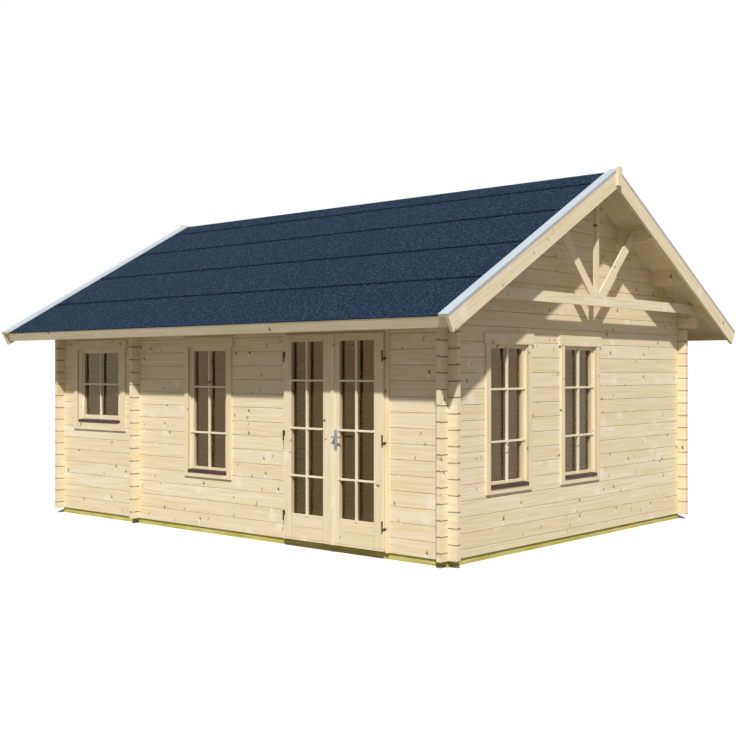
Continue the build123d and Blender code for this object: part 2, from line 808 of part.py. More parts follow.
# ---- Handle -----------------------------------------------------------------
with BuildPart() as door_handle:
    plate_x = door_middle + leaf_inner + handle_from_edge
    plate_z = log_base + handle_height
    with BuildSketch(Plane.XZ.offset(-leaf_face_y)):
        with Locations((plate_x, plate_z)):
            SlotCenterToCenter(handle_plate_height - handle_plate_width, handle_plate_width, rotation=90)
    extrude(amount=handle_plate_thickness)
    lever_z = plate_z + lever_rise
    with BuildSketch(Plane.XZ.offset(-leaf_face_y)):
        with Locations((plate_x, lever_z)):
            Circle(rose_radius)
        with Locations((plate_x, plate_z - cylinder_drop)):
            Circle(cylinder_radius)
    extrude(amount=handle_plate_thickness + lever_radius)
    with BuildSketch(Plane.XZ.offset(-leaf_face_y)):
        with Locations((plate_x, lever_z)):
            Circle(stem_radius)
    extrude(amount=lever_reach)
    with BuildSketch(Plane.YZ.offset(plate_x - lever_radius)):
        with Locations((leaf_face_y - lever_reach, lever_z)):
            Circle(lever_radius)
    extrude(amount=lever_length + lever_radius)
save(door_handle, "door_handle")
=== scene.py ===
"""Log cabin: timber, felt, metal and glass, glazing bars, boards, light and camera.

Metres. X runs along the ridge, the doors face -Y, Z is up.
"""

import math
from functools import partial

import bmesh
import bpy
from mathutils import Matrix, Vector


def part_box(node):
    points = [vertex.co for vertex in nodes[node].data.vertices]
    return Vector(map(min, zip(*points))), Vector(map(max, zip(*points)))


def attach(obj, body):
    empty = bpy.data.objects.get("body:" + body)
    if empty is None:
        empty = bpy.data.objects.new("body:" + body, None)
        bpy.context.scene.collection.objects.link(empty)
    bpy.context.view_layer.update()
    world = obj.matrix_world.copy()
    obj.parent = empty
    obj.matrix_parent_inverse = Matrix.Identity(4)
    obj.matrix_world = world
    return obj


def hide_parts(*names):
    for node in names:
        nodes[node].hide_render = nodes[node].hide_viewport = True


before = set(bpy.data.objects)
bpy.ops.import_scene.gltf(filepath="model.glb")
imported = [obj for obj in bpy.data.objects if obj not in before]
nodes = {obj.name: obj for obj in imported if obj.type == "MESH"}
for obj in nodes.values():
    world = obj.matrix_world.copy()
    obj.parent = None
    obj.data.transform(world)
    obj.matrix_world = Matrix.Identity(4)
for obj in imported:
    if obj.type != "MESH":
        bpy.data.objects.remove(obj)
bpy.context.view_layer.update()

# ---- Walls and roof ---------------------------------------------------------
COURSE = 0.135  # height of one log
LOG = 0.045  # thickness of one log
LOG_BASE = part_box("front_wall_left")[0][2]
HALF_JOINT = LOG_BASE + COURSE / 2  # first joint of the walls that start half a log higher
FRONT_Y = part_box("front_wall_left")[0][1]  # outer face of the front wall
CASING_PROUD = 0.022
GABLE_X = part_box("window_casings")[1][0] - CASING_PROUD  # outer face of the right gable wall
FRONT_MIDDLE = FRONT_Y + LOG / 2  # middle planes of the walls
GABLE_MIDDLE = GABLE_X - LOG / 2
CROSS_MIDDLE = (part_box("partition_front")[0][0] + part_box("partition_front")[1][0]) / 2

PITCH = math.atan(0.558)
STRUT_PITCH = math.radians(45.0)
ROOF_THICKNESS = 0.020  # of the roof boards
RIDGE_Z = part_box("front_roof_boards")[1][2] - ROOF_THICKNESS / math.cos(PITCH)  # under the boards
EAVE_RUN = 2.941  # ridge to eave, down the slope
FELT_END = 2.963  # ridge to the low edge of the felt, just past the fascia
FELT_STRIP = 0.697  # what shows of one strip of felt
FELT_CAP = 0.262  # ridge to the low edge of the strip over the ridge
FELT_LAPS = (FELT_CAP, *(FELT_END - strips * FELT_STRIP for strips in (3, 2, 1)))  # down the slope
FELT_TOP = 0.028  # tops of felt and of verge trims, up from the underside of the roof boards
TRIM_TOP = 0.051
TRIM_WIDTH = 0.096  # verge trim, over the barge board and its batten
TRIM_SHEET = 0.0015

ROOF_BOARD = 0.096
FLOOR_BOARD = 0.088
BOARD_JOINT = 0.003  # depth of the V-joint between two boards
BOARD_GAP = 0.0004  # half the gap under it

# ---- Windows and doors ------------------------------------------------------
BAR = 0.018  # glazing bar: width
BAR_PROUD = 0.010  # its face, out from the stiles and rails
BAR_DEPTH = 0.022
BAR_LAP = 0.012  # ends of a door's bars, over the stiles and rails
BAR_EDGE = 0.0015
SASH_BACK = 0.017  # face of a sash, inside the face of the wall

# Half widths of the glass, of the lining in front of the sash, and of the gap between the side casings,
# the low and high edges of the glass, the top of the sill, and the middles of the level bars.
TALL = {
    "pane": 0.239,
    "lining": 0.281,
    "casing": 0.291,
    "low": 0.660,
    "high": 1.826,
    "sill": 0.636,
    "levels": (1.008, 1.468),
}
SMALL = {
    "pane": 0.315,
    "lining": 0.346,
    "casing": 0.400,
    "low": 1.135,
    "high": 1.823,
    "sill": 1.089,
    "levels": (1.479,),
}
LINING_TOP = 1.855
CASING_TOP = 1.865  # tops of the side casings, under the head
WINDOWS = {  # whether it is on the gable, its middle, and its sizes
    "small_window_bars": (False, -2.060, SMALL),
    "front_window_bars": (False, -0.224, TALL),
    "gable_window_bars_front": (True, -1.221, TALL),
    "gable_window_bars_back": (True, -0.017, TALL),
}
DOOR_MIDDLE = 1.514
DOOR_PANE = 0.3045  # middle of the doors to the middle of a pane
DOOR_PANE_HALF = 0.202
DOOR_LEVELS = (0.664, 1.101, 1.540)
DOOR_RAIL_JOINTS = (0.088, 0.198)  # low and high edges of the bottom rails
DOORWAY_HALF = 0.6
DOORWAY_TOP = 2.05
FULL_HEIGHT = 9.0  # upright boards that no head board covers

# ---- Patterns' real sizes, in millimetres along a board, over it and through it ----
BEND = (769.2, 200, 1000)  # slow wander of the grain
STREAK = (625, 23.81, 23.81)  # growth rings are 2 mm, too fine to show, so they are drawn wider
CLOUD = (454.5, 111.1, 1000)  # pinkish parts of a board
HUE = (909.1, 142.9, 1000)  # yellowish parts
KNOTS_APART = 181.82
PATCHES_APART = 434.8
SIDE_KNOTS_APART = 142.86
RINGS_APART = 8.976  # on sawn ends, drawn coarser as well
SAWN_STREAK = (400, 14.286, 14.286)  # rough sawn fibres are 1 mm, drawn coarser
SAWN_BLOTCH = (333.3, 166.7, 1000)
GRIT = 16.667  # slate grit is 1 to 2 mm, too fine to show, so it is drawn in clumps
CHIPS_APART = 20.833
FELT_CLOUD = 333.33
ROLLING_MARKS = (666.7, 6.25, 6.25)  # real ones are under 1 mm, drawn coarser
STEEL_CLOUD = (333.3, 125, 1000)
SILL_STREAK = (333.3, 333.3, 11.111)
SILL_BLOTCH = 111.11
CLOSE_GRAIN = (250, 8.3333, 8.3333)  # hardwood pores are under 1 mm, drawn coarser
WORN = (200, 83.33, 1000)
GLASS_WAVE = 454.5
GLASS_CLOUD = 769.2
BRUSHING = (1.1111, 1.1111, 33.333)
RUBBED = 6.25


def linear(hex_colour):
    """Linear RGBA of an sRGB colour."""
    channels = [int(hex_colour[i : i + 2], 16) / 255 for i in (1, 3, 5)]
    return [c / 12.92 if c <= 0.04045 else ((c + 0.055) / 1.055) ** 2.4 for c in channels] + [1.0]


def per_metre(*sizes):
    """A pattern's scales, from its sizes in millimetres."""
    return [1000.0 / size for size in sizes]


# ---- Shader helpers ---------------------------------------------------------
MAIN_SETTING = {  # what the second word of a node's kind sets
    "MapRange": "interpolation_type",
    "Mapping": "vector_type",
    "Math": "operation",
    "Mix": "data_type",
    "TexVoronoi": "voronoi_dimensions",
    "TexWhiteNoise": "noise_dimensions",
    "VectorMath": "operation",
}


def add_node(tree, kind, *values, **sockets):
    """Adds a node to a tree, with its setting and links, and returns its outputs.

    Kind is the node's type and its main setting, as in "Math ADD". Values go into its open sockets in
    order, and into others by name. All the outputs of a node, as a value, stand for the first open one.
    """
    kind, _, setting = kind.partition(" ")
    node = tree.nodes.new("ShaderNode" + kind)
    if setting:
        setattr(node, MAIN_SETTING[kind], setting)
    filled = list(zip([socket for socket in node.inputs if socket.enabled], values))
    filled += [(node.inputs[name.replace("_", " ")], value) for name, value in sockets.items()]
    for socket, value in filled:
        if isinstance(value, bpy.types.bpy_prop_collection):
            value = next(output for output in value if output.enabled)
        if isinstance(value, bpy.types.NodeSocket):
            tree.links.new(value, socket)
        else:
            socket.default_value = value
    return node.outputs


def empty_tree(owner):
    """Clears the nodes of a material or world, and returns what adds nodes to it."""
    owner.use_nodes = True
    owner.node_tree.nodes.clear()
    return partial(add_node, owner.node_tree)


def new_material(name):
    """A material without nodes, and what adds nodes to it."""
    material = bpy.data.materials.new(name)
    return material, empty_tree(material)


def tinted(add, colour, *layers):
    """A colour with tints laid over it in turn. A layer is how much of a tint shows, and the tint."""
    for amount, tint in layers:
        colour = add("Mix RGBA", amount, colour, tint)
    return colour


# ---- Where a point is in its board ------------------------------------------
LEANING = {"slope": -PITCH, "slope_boards": -PITCH, "strut": STRUT_PITCH}
SIDES_APART = 3.7  # along the grain, so that front and back boards differ
END_GRAIN = 0.8  # a face whose normal is this much along the grain is a sawn end
CORNER = 0.1  # what is this near the gable's face, or past it, is in the gable
FRAME_REACH = 0.6  # a frame's boards are within this of its opening's middle
FAR_OFF = 5.0  # an opening on the other wall, or one out of reach, counts as this much further
TOP_JOINT = 10.0  # the joints at the tops of side boards are drawn this much finer


def grain(add, layout):
    """Where a point is in its board: along the grain, over the width, through it, and one on end grain.

    The layout names the three axes in that order, or slope, slope_boards or strut for what leans.
    """
    coordinates = add("TexCoord")
    place = add("SeparateXYZ", coordinates["Object"])
    normal = add("SeparateXYZ", coordinates["Normal"])
    if layout not in LEANING:
        u, v, w = (place[axis] for axis in layout.upper())
        ends = add("Math ABSOLUTE", normal[layout[0].upper()])
        return u, v, w, add("Math GREATER_THAN", ends, END_GRAIN)

    turn = LEANING[layout]
    up_slope, off_slope = (0.0, math.cos(turn), math.sin(turn)), (0.0, -math.sin(turn), math.cos(turn))
    side = add("Math SIGN", place["Y"])
    leaning = add("CombineXYZ", 0.0, add("Math ABSOLUTE", place["Y"]), place["Z"])
    facing = add("CombineXYZ", 0.0, add("Math MULTIPLY", normal["Y"], side), normal["Z"])
    along = add("VectorMath DOT_PRODUCT", leaning, up_slope)
    along = add("Math ADD", along, add("Math MULTIPLY", side, SIDES_APART))
    over = add("VectorMath DOT_PRODUCT", leaning, off_slope)
    ends = add("Math ABSOLUTE", add("VectorMath DOT_PRODUCT", facing, up_slope))
    v, w = (place["X"], over) if layout == "slope_boards" else (over, place["X"])
    return along, v, w, add("Math GREATER_THAN", ends, END_GRAIN)


def framed_grain(add, openings, lines):
    """The same for window and door frames: upright beside an opening and level over and under it.

    Openings give for each whether it is on the gable, its middle, its half width and the top of its
    side boards. The last value is how far a point is from the nearest joint between two boards, with
    the joints at the heights in lines too: the first over the whole width, the others between stiles.
    """
    place = add("SeparateXYZ", add("TexCoord")["Object"])
    on_gable = add("Math GREATER_THAN", place["X"], GABLE_X - CORNER)
    on_front = add("Math SUBTRACT", 1.0, on_gable)
    beside = 1.0  # how far beside the nearest opening, and less than nought over, under or in it
    for gable, middle, half, top in openings:
        off = add("Math ABSOLUTE", add("Math SUBTRACT", place["Y" if gable else "X"], middle))
        under_top = add("Math MULTIPLY", add("Math SUBTRACT", top, place["Z"]), TOP_JOINT)
        out = add("Math MINIMUM", add("Math SUBTRACT", off, half), under_top)
        far = add("Math GREATER_THAN", off, FRAME_REACH)
        elsewhere = add("Math ADD", on_front if gable else on_gable, far)
        out = add("Math ADD", out, add("Math MULTIPLY", elsewhere, FAR_OFF))
        beside = add("Math MINIMUM", beside, out)
    upright = add("Math GREATER_THAN", beside, 0.0)
    width = add("Mix FLOAT", on_gable, place["X"], place["Y"])
    through = add("Mix FLOAT", on_gable, place["Y"], place["X"])
    u = add("Mix FLOAT", upright, width, place["Z"])
    v = add("Mix FLOAT", upright, place["Z"], width)
    joint = add("Math ABSOLUTE", beside)
    for line in lines:
        off = add("Math ABSOLUTE", add("Math SUBTRACT", place["Z"], line))
        joint = add("Math MINIMUM", joint, add("Math ADD", off, 0.0 if line == lines[0] else upright))
    return u, v, through, 0.0, joint


# ---- Timber -----------------------------------------------------------------
TONGUES_APART = 0.018  # tongues of a log's profile, as its sawn end shows them
TONGUE_HEIGHT = 0.0065
TONGUES_HALF = 0.019  # half of the wall's thickness that they take up
TIMBER_RUN = 29.0  # each board is cut at its own place from timber of this length


def knots(add, place, shift):
    """Round marks scattered over a board: how far off the nearest one is, and its random numbers."""
    spot = add("VectorMath ADD", place, (*shift, 0.0))
    cells = add("TexVoronoi 2D", spot, *per_metre(KNOTS_APART))
    away = add("Math DIVIDE", cells["Distance"], *per_metre(KNOTS_APART))
    return away, add("SeparateColor", cells["Color"])


def log_joints(add, colour, u, v, w, run, ends, board, joints):
    """The joint between two logs: a fine shadow line, and on log ends the dark line of the tongues."""
    first, middle, crossing = joints
    across = add("Math SUBTRACT", w, middle)
    off_middle = add("Math ABSOLUTE", across)
    tongues = add("Math COSINE", add("Math MULTIPLY", across, 2 * math.pi / TONGUES_APART))
    tooth = add("MapRange SMOOTHSTEP", tongues, 0.4, -0.4, 0.0, TONGUE_HEIGHT)
    on_end = add("Math MULTIPLY", ends, add("Math GREATER_THAN", TONGUES_HALF, off_middle))
    lift = add("Math MULTIPLY", tooth, on_end)
    level = add("Math DIVIDE", add("Math SUBTRACT", add("Math SUBTRACT", v, lift), first), COURSE)
    off = add("Math ABSOLUTE", add("Math SUBTRACT", level, add("Math ROUND", level)))
    gap = add("Math MULTIPLY", off, COURSE)

    # along a log the line comes and goes, and past the crossing walls it is stronger and wider
    fitting = add("TexNoise", add("CombineXYZ", add("Math MULTIPLY", run, 6.0), 0.0, board), 1.0, 3.0)
    uneven = add("MapRange SMOOTHSTEP", fitting, 0.35, 0.65, 0.3, 1.0)
    past = add("Math GREATER_THAN", add("Math ABSOLUTE", u), crossing)
    strength = add("Math ADD", add("Math MULTIPLY", uneven, 0.5), add("Math MULTIPLY", past, 0.4))
    reach = add("Math ADD", 0.005, add("Math MULTIPLY", past, 0.003))
    line = add("MapRange SMOOTHSTEP", gap, reach, 0.001)
    rim = add("MapRange SMOOTHSTEP", off_middle, 0.010, 0.018, 0.7, 1.0)
    end_line = add("MapRange SMOOTHSTEP", gap, 0.0065, 0.003)
    return tinted(
        add,
        colour,
        (add("Math MULTIPLY", line, strength), linear("#624A28")),
        (add("Math MULTIPLY", end_line, add("Math MULTIPLY", ends, rim)), linear("#3A2A18")),
    )


def streaked(add, place, v, tone, pale, deep):
    """Planed wood: streaks that wander slowly along a board, and yellowish, pinkish and duller parts.

    Returns the colour, the streaks and the place over the board, wandering as they do.
    """
    bend = add("TexNoise", add("VectorMath MULTIPLY", place, per_metre(*BEND)), 1.0, 1.0)
    wander = add("Math MULTIPLY", bend, 0.05)
    wandering = add("VectorMath ADD", place, add("CombineXYZ", 0.0, wander, 0.0))
    streak = add("TexNoise", add("VectorMath MULTIPLY", wandering, per_metre(*STREAK)), 1.0, 3.0, 0.65)
    cloud = add("TexNoise", add("VectorMath MULTIPLY", place, per_metre(*CLOUD)), 1.0, 2.0)
    deeper = add("VectorMath ADD", place, (0.0, 0.0, 5.0))  # so that hue and cloud differ
    hue = add("TexNoise", add("VectorMath MULTIPLY", deeper, per_metre(*HUE)), 1.0, 1.0)
    colour = tinted(
        add,
        linear(pale),
        (add("MapRange SMOOTHSTEP", streak, 0.36, 0.70), linear(deep)),
        (add("MapRange SMOOTHSTEP", hue, 0.50, 0.72, 0.0, 0.55), linear("#E9DEB2")),
        (add("MapRange SMOOTHSTEP", cloud, 0.52, 0.74, 0.0, 0.6), linear("#F5E0C8")),
        (add("Math MULTIPLY", tone, 0.28), linear("#DCC596")),
    )
    return colour, streak, add("Math ADD", v, wander)


def knotted(add, colour, run, over, w, clear):
    """Wood with its knots and pale patches. Returns the colour, and one in the knots' cores."""
    # knots 10 to 22 mm across and half as tall again, and a pale patch of wood under the larger ones
    around = add("Math MULTIPLY", add("Math ADD", over, add("Math MULTIPLY", w, 0.2)), 0.65)
    place = add("CombineXYZ", run, around, 0.0)
    away, pick = knots(add, place, (0.0, 0.0))
    edge = add("Math SUBTRACT", away, add("MapRange SMOOTHSTEP", pick["Red"], 0.42, 1.0, 0.0, 0.0105))
    there = add("Math GREATER_THAN", pick["Red"], clear)
    halo = add("Math MULTIPLY", add("MapRange SMOOTHSTEP", edge, 0.016, 0.002), there)
    core = add("Math MULTIPLY", add("MapRange SMOOTHSTEP", edge, 0.0024, -0.0024), there)
    knot_colour = add("Mix RGBA", pick["Green"], linear("#4A3C22"), linear("#80683E"))
    away_below, pick_below = knots(add, place, (0.008, 0.017))
    larger = add("Math GREATER_THAN", pick_below["Red"], 0.4 + 0.6 * clear)
    below = add("Math MULTIPLY", add("MapRange SMOOTHSTEP", away_below, 0.021, 0.010), larger)

    # broad pale patches
    slanting = add(
        "CombineXYZ",
        add("Math ADD", run, add("Math MULTIPLY", over, 0.35)),
        add("Math SUBTRACT", over, add("Math MULTIPLY", run, 0.35)),
        0.0,
    )
    patches = add("TexVoronoi 2D", slanting, *per_metre(PATCHES_APART))
    some = add("Math GREATER_THAN", add("SeparateColor", patches["Color"])["Green"], 0.45)
    patch = add("Math MULTIPLY", add("MapRange SMOOTHSTEP", patches["Distance"], 0.20, 0.05), some)

    # thin slanting side knots, four times as long as wide
    flat = add("CombineXYZ", run, over, 0.0)
    slant = add("Mapping TEXTURE", flat, (0.0, 0.0, 0.0), (0.0, 0.0, 1.1), (4.0, 1.0, 1.0))
    slivers = add("TexVoronoi 2D", slant, *per_metre(SIDE_KNOTS_APART))
    few = add("Math GREATER_THAN", add("SeparateColor", slivers["Color"])["Blue"], 0.4 + 0.45 * clear)
    sliver = add("Math MULTIPLY", add("MapRange SMOOTHSTEP", slivers["Distance"], 0.055, 0.02), few)
    colour = tinted(
        add,
        colour,
        (add("Math MULTIPLY", halo, 0.5), linear("#CBAA72")),
        (add("Math MULTIPLY", below, 0.65), linear("#FFF3E6")),
        (add("Math MULTIPLY", core, 0.9), knot_colour),
        (add("Math MULTIPLY", patch, 0.6), linear("#FAEBD8")),
        (add("Math MULTIPLY", sliver, 0.8), linear("#84693C")),
    )
    return colour, core


def with_sawn_ends(add, colour, v, w, ends, middle):
    """Wood with its sawn ends: warmer, and ringed about the middle of each log."""
    off_pith = add("CombineXYZ", add("Math SUBTRACT", w, middle), add("Math MODULO", v, COURSE), 0.0)
    turn = 2 * math.pi * per_metre(RINGS_APART)[0]
    rings = add("Math SINE", add("Math MULTIPLY", add("VectorMath LENGTH", off_pith), turn))
    ringed = add("MapRange SMOOTHSTEP", rings, -1.0, 1.0)
    sawn = add("Mix RGBA", ringed, linear("#F1E4C6"), linear("#E6D6B0"))
    return tinted(add, colour, (add("Math MULTIPLY", ends, 0.7), sawn))


def spruce(
    name,
    layout,
    boards=None,
    joints=None,
    openings=None,
    lines=(),
    clear=0.62,
    pale="#F3E5C9",
    deep="#E6D1A9",
):
    """Planed spruce: cream, with soft streaks along the grain, small brown knots and pale wood by them.

    Boards is the place of the first board's edge and the boards' width. Joints is the height of the
    first joint between logs, the middle plane of the wall, which puts the tongues on its log ends, and
    the face of the walls that it crosses, past which the joints show more. Openings and lines are those
    of a frame. Clear is how much of the timber has no knots.
    """
    material, add = new_material(name)
    butt = None
    if openings:
        u, v, w, ends, butt = framed_grain(add, openings, lines)
    else:
        u, v, w, ends = grain(add, layout)

    # each board has its own tone and its own part of the timber
    board = 0.0
    if joints:
        boards = (joints[0], COURSE)
    if boards:
        first, width = boards
        board = add("Math FLOOR", add("Math DIVIDE", add("Math SUBTRACT", v, first), width))
    seed = sum(ord(letter) for letter in name) * 0.37
    chance = add("TexWhiteNoise 1D", add("Math ADD", board, seed))
    run = add("Math ADD", u, add("Math MULTIPLY", chance["Value"], TIMBER_RUN))
    tone = add("SeparateColor", chance["Color"])["Red"]

    colour, streak, over = streaked(add, add("CombineXYZ", run, v, w), v, tone, pale, deep)
    colour, core = knotted(add, colour, run, over, w, clear)
    colour = with_sawn_ends(add, colour, v, w, ends, joints[1] if joints else 0.0)
    if joints:
        colour = log_joints(add, colour, u, v, w, run, ends, board, joints)
    if butt is not None:
        seam = add("MapRange SMOOTHSTEP", butt, 0.004, 0.001, 0.0, 0.4)
        colour = tinted(add, colour, (seam, linear("#8A6F46")))

    relief = add("Math ADD", add("Math MULTIPLY", streak, 0.4), add("Math MULTIPLY", core, -0.6))
    surface = add(
        "BsdfPrincipled",
        Base_Color=colour,
        Roughness=add("MapRange SMOOTHSTEP", streak, 0.2, 0.8, 0.62, 0.5),
        Specular_IOR_Level=0.12,
        Normal=add("Bump", Strength=0.35, Distance=0.002, Height=relief),
    )
    add("OutputMaterial", surface)
    return material


def treated_timber(name, layout):
    """Pressure-treated spruce: yellow-green, rough sawn and matt, with darker ends."""
    material, add = new_material(name)
    u, v, w, ends = grain(add, layout)
    place = add("CombineXYZ", u, v, w)
    streak = add("TexNoise", add("VectorMath MULTIPLY", place, per_metre(*SAWN_STREAK)), 1.0, 3.0, 0.6)
    blotch = add("TexNoise", add("VectorMath MULTIPLY", place, per_metre(*SAWN_BLOTCH)), 1.0, 2.0)
    colour = tinted(
        add,
        linear("#D6CA78"),
        (add("MapRange SMOOTHSTEP", streak, 0.35, 0.68), linear("#AAA054")),
        (add("MapRange SMOOTHSTEP", blotch, 0.45, 0.7, 0.0, 0.6), linear("#DDD28C")),
        (add("Math MULTIPLY", ends, 0.35), linear("#8A8444")),
    )
    surface = add(
        "BsdfPrincipled",
        Base_Color=colour,
        Roughness=0.8,
        Specular_IOR_Level=0.1,
        Normal=add("Bump", Strength=0.5, Distance=0.003, Height=streak),
    )
    add("OutputMaterial", surface)
    return material


def stained_timber(name):
    """Stained softwood sill: dark red-brown, half gloss, with the grain just showing."""
    material, add = new_material(name)
    place = add("TexCoord")["Object"]
    streak = add("TexNoise", add("VectorMath MULTIPLY", place, per_metre(*SILL_STREAK)), 1.0, 3.0, 0.6)
    blotch = add("TexNoise", place, *per_metre(SILL_BLOTCH), 2.0)
    colour = tinted(
        add,
        linear("#4E2E2A"),
        (add("MapRange SMOOTHSTEP", streak, 0.35, 0.7), linear("#381E1D")),
        (add("MapRange SMOOTHSTEP", blotch, 0.45, 0.7, 0.0, 0.4), linear("#5C3A36")),
    )
    surface = add(
        "BsdfPrincipled",
        Base_Color=colour,
        Roughness=add("MapRange SMOOTHSTEP", streak, 0.2, 0.8, 0.42, 0.55),
        Specular_IOR_Level=0.25,
        Normal=add("Bump", Strength=0.25, Distance=0.001, Height=streak),
    )
    add("OutputMaterial", surface)
    return material


def hardwood(name):
    """Oiled hardwood threshold: mid brown, close grained and worn paler where feet pass."""
    material, add = new_material(name)
    place = add("TexCoord")["Object"]
    streak = add("TexNoise", add("VectorMath MULTIPLY", place, per_metre(*CLOSE_GRAIN)), 1.0, 3.0)
    worn = add("TexNoise", add("VectorMath MULTIPLY", place, per_metre(*WORN)), 1.0, 2.0)
    colour = tinted(
        add,
        linear("#9A7650"),
        (add("MapRange SMOOTHSTEP", streak, 0.35, 0.7), linear("#7A5A3A")),
        (add("MapRange SMOOTHSTEP", worn, 0.5, 0.7, 0.0, 0.5), linear("#B3936A")),
    )
    surface = add(
        "BsdfPrincipled",
        Base_Color=colour,
        Roughness=0.5,
        Normal=add("Bump", Strength=0.25, Distance=0.001, Height=streak),
    )
    add("OutputMaterial", surface)
    return material


# ---- Felt, metal and glass --------------------------------------------------
def slate_felt(name):
    """Bitumen roofing felt with blue-grey slate grit: a speckled matt sheet, black along each lap,
    partly the strips' bitumen edges and partly painted shade under their steps.
    """
    material, add = new_material(name)
    place = add("TexCoord")["Object"]
    speckle = add("TexNoise", place, *per_metre(GRIT), 2.0, 0.75)
    cloud = add("TexNoise", place, *per_metre(FELT_CLOUD), 3.0, 0.6)
    chips = add("TexVoronoi 3D", place, *per_metre(CHIPS_APART))
    some = add("Math GREATER_THAN", add("SeparateColor", chips["Color"])["Red"], 0.86)
    chip = add("Math MULTIPLY", add("MapRange SMOOTHSTEP", chips["Distance"], 0.42, 0.2), some)

    down = add("Math DIVIDE", add("Math ABSOLUTE", add("SeparateXYZ", place)["Y"]), math.cos(PITCH))
    lap = 9.0  # how far off the nearest lap is, and at first past them all
    for edge in FELT_LAPS:
        lap = add("Math MINIMUM", lap, add("Math ABSOLUTE", add("Math SUBTRACT", down, edge)))
    colour = tinted(
        add,
        linear("#101926"),
        (add("MapRange SMOOTHSTEP", speckle, 0.36, 0.62), linear("#28384C")),
        (add("MapRange SMOOTHSTEP", speckle, 0.58, 0.70, 0.0, 0.8), linear("#52677D")),
        (add("MapRange SMOOTHSTEP", cloud, 0.4, 0.65, 0.0, 0.35), linear("#1C2A3E")),
        (add("Math MULTIPLY", chip, 0.45), linear("#64788C")),
        # black along each lap: partly the bitumen of the strips' edges, partly painted shade under each
        # lap's step
        (add("MapRange SMOOTHSTEP", lap, 0.014, 0.008), linear("#05080F")),
    )
    surface = add(
        "BsdfPrincipled",
        Base_Color=colour,
        Roughness=0.92,
        Specular_IOR_Level=0.05,
        Normal=add("Bump", Strength=0.6, Distance=0.003, Height=speckle),
    )
    add("OutputMaterial", surface)
    return material


def coated_steel(name, bright, dull, lip_shade):
    """Coated steel trim: pale, smooth, with a soft sheen and faint rolling marks along its length.

    The lip, over the barge board, is drawn in a darker, greyer colour than the rest of the same sheet,
    which is painted shade.
    """
    material, add = new_material(name)
    u, v, w, _ = grain(add, "slope")
    place = add("CombineXYZ", u, v, w)
    marks = add("TexNoise", add("VectorMath MULTIPLY", place, per_metre(*ROLLING_MARKS)), 1.0, 2.0)
    cloud = add("TexNoise", add("VectorMath MULTIPLY", place, per_metre(*STEEL_CLOUD)), 1.0, 2.0)
    outwards = add("Math ABSOLUTE", add("SeparateXYZ", add("TexCoord")["Normal"])["X"])
    colour = tinted(
        add,
        linear(bright),
        (add("MapRange SMOOTHSTEP", marks, 0.3, 0.7), linear(dull)),
        (add("MapRange SMOOTHSTEP", cloud, 0.45, 0.7, 0.0, 0.5), linear(bright)),
        # painted shade: faces turned along the ridge, the lip, take the darker, greyer colour
        (add("Math GREATER_THAN", outwards, 0.5), linear(lip_shade)),
    )
    surface = add(
        "BsdfPrincipled",
        Base_Color=colour,
        Metallic=0.1,
        Roughness=add("MapRange SMOOTHSTEP", marks, 0.2, 0.8, 0.5, 0.38),
    )
    add("OutputMaterial", surface)
    return material


def float_glass(name):
    """Float glass: clear and slightly wavy, with a warm tint, and a painted warm colour on its
    reflections.
    """
    material, add = new_material(name)
    place = add("TexCoord")["Object"]
    wave = add("TexNoise", place, *per_metre(GLASS_WAVE), 1.0)
    cloud = add("TexNoise", place, *per_metre(GLASS_CLOUD), 1.0)
    surface = add(
        "BsdfPrincipled",
        Base_Color=add("Mix RGBA", cloud, linear("#F3E6C6"), linear("#EEE0BC")),
        Transmission_Weight=1.0,
        # painted reflection: the warm specular tint colours what the glass reflects as if warm
        # surroundings were there
        Specular_Tint=linear("#F4D690"),
        Roughness=0.0,
        IOR=1.5,
        Specular_IOR_Level=0.1,
        Normal=add("Bump", Strength=0.015, Distance=0.002, Height=wave),
    )
    add("OutputMaterial", surface)
    return material


def satin_steel(name):
    """Satin stainless steel: bright, with fine brushing down the plate."""
    material, add = new_material(name)
    place = add("TexCoord")["Object"]
    brush = add("TexNoise", add("VectorMath MULTIPLY", place, per_metre(*BRUSHING)), 1.0, 2.0)
    brushed = add("MapRange SMOOTHSTEP", brush, 0.3, 0.7)
    surface = add(
        "BsdfPrincipled",
        Base_Color=add("Mix RGBA", brushed, linear("#A5A7AE"), linear("#8B8E96")),
        Metallic=1.0,
        Roughness=add("MapRange SMOOTHSTEP", brush, 0.2, 0.8, 0.22, 0.36),
    )
    add("OutputMaterial", surface)
    return material


def bronzed_steel(name):
    """Bronzed steel hinge: near black brown, satin, rubbed brighter in places."""
    material, add = new_material(name)
    wear = add("TexNoise", add("TexCoord")["Object"], *per_metre(RUBBED), 3.0, 0.6)
    rubbed = add("MapRange SMOOTHSTEP", wear, 0.5, 0.75)
    surface = add(
        "BsdfPrincipled",
        Base_Color=add("Mix RGBA", rubbed, linear("#4A3722"), linear("#846A48")),
        Metallic=0.7,
        Roughness=add("MapRange SMOOTHSTEP", wear, 0.3, 0.8, 0.5, 0.35),
    )
    add("OutputMaterial", surface)
    return material


# ---- Finishes of the CAD pieces ---------------------------------------------
def finish(material, *names):
    """Gives pieces their material."""
    for name in names:
        for slot in nodes[name].material_slots:
            slot.material = material


def log_wall(name, layout, first_joint, middle, crossing):
    """Spruce logs of one wall, whose log ends pass the crossing walls."""
    return spruce(name, layout, joints=(first_joint, middle, crossing))


def window_boards(half, top):
    """Openings of the windows, by the name of a half width and the top of the side boards."""
    return [(on_gable, middle, kind[half], top) for on_gable, middle, kind in WINDOWS.values()]


